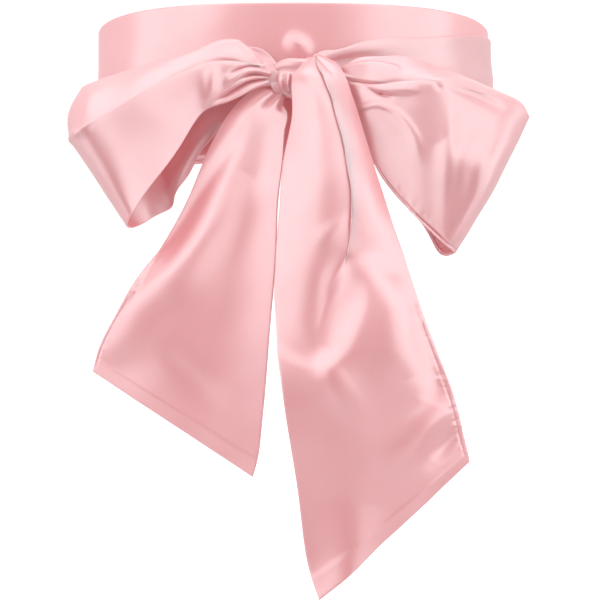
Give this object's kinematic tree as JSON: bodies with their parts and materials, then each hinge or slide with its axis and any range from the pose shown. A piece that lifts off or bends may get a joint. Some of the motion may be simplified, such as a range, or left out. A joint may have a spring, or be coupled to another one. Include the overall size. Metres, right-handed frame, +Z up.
{
  "type": "satin sash",
  "caption": "Pale pink satin waist sash of doubled cloth, wound twice round the waist and tied in front in a large bow with two uneven pointed tails.",
  "frame": {"origin": "middle of the wearer's waist, at about half the height of the band, where the sash is held", "axes": "+Z up through the waist, -Y towards the knot at the front, +X to the right of someone facing the bow"},
  "size_m": [0.2696, 0.2591, 0.3671],
  "materials": {
    "satin": "satin weave with a soft sheen, slightly brighter across the weave"
  },
  "bodies": {
    "root": {"waist_band": "satin", "outer_wrap": "satin", "knot": "satin", "loop_left": "satin", "loop_right": "satin", "tail_left": "satin", "tail_right": "satin"}
  },
  "joints": []
}
